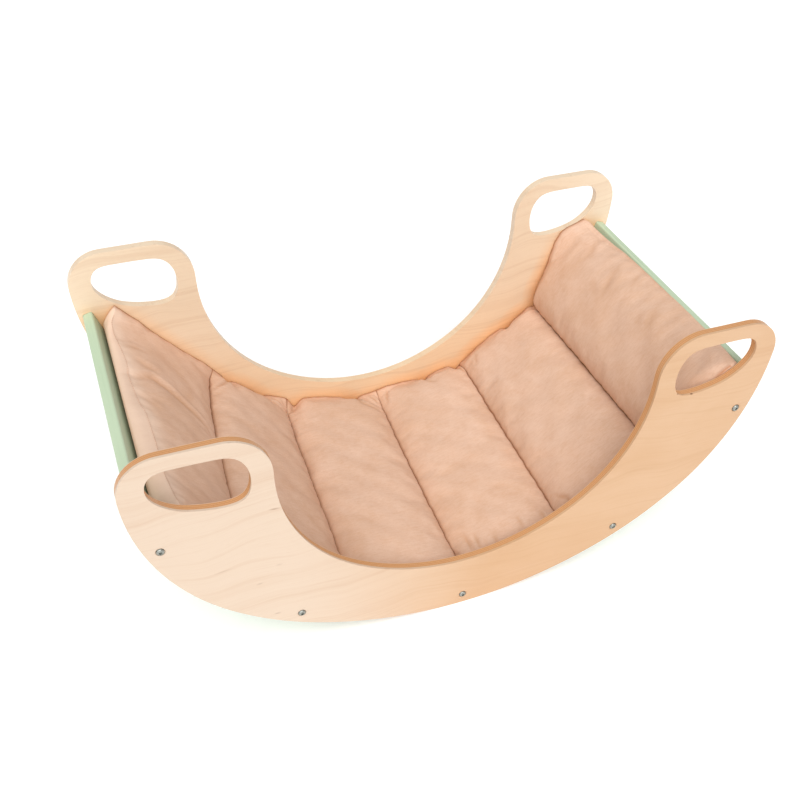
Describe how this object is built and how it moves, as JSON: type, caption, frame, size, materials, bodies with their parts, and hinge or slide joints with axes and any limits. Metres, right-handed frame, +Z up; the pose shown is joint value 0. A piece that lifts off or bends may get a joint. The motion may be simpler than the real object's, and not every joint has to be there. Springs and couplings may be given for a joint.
{
  "type": "rocker board",
  "caption": "Crescent rocker board for a child, with handled plywood side panels, a painted slat bed and a quilted lift-out mat.",
  "frame": {"origin": "on the floor under the middle of the board, where the rocking edges touch it", "axes": "+X along the board towards its right end as seen from the front, -Y the front, +Z up; the board rocks about Y"},
  "size_m": [0.8714, 0.4606, 0.4085],
  "materials": {
    "birch": "clear-lacquered birch plywood",
    "green_paint": "boards painted matt sage green",
    "zinc": "zinc-plated steel",
    "mat_fabric": "dusty-rose microsuede over fibre filling"
  },
  "bodies": {
    "frame": {"side_panel_front": "birch", "side_panel_back": "birch", "slat_1": "green_paint", "slat_2": "green_paint", "slat_3": "green_paint", "slat_4": "green_paint", "slat_5": "green_paint", "slat_6": "green_paint", "slat_7": "green_paint", "slat_8": "green_paint", "slat_9": "green_paint", "bolt_front_1": "zinc", "bolt_front_2": "zinc", "bolt_front_3": "zinc", "bolt_front_4": "zinc", "bolt_front_5": "zinc", "bolt_back_1": "zinc", "bolt_back_2": "zinc", "bolt_back_3": "zinc", "bolt_back_4": "zinc", "bolt_back_5": "zinc", "barrel_nut_front_1": "zinc", "barrel_nut_front_2": "zinc", "barrel_nut_front_3": "zinc", "barrel_nut_front_4": "zinc", "barrel_nut_front_5": "zinc", "barrel_nut_back_1": "zinc", "barrel_nut_back_2": "zinc", "barrel_nut_back_3": "zinc", "barrel_nut_back_4": "zinc", "barrel_nut_back_5": "zinc"},
    "mat": {"quilted_mat": "mat_fabric"}
  },
  "joints": [
    {"name": "mat_lift", "type": "slide", "parent": "frame", "child": "mat", "axis": [0, 0, 1], "range_m": [0, 0.42]}
  ]
}
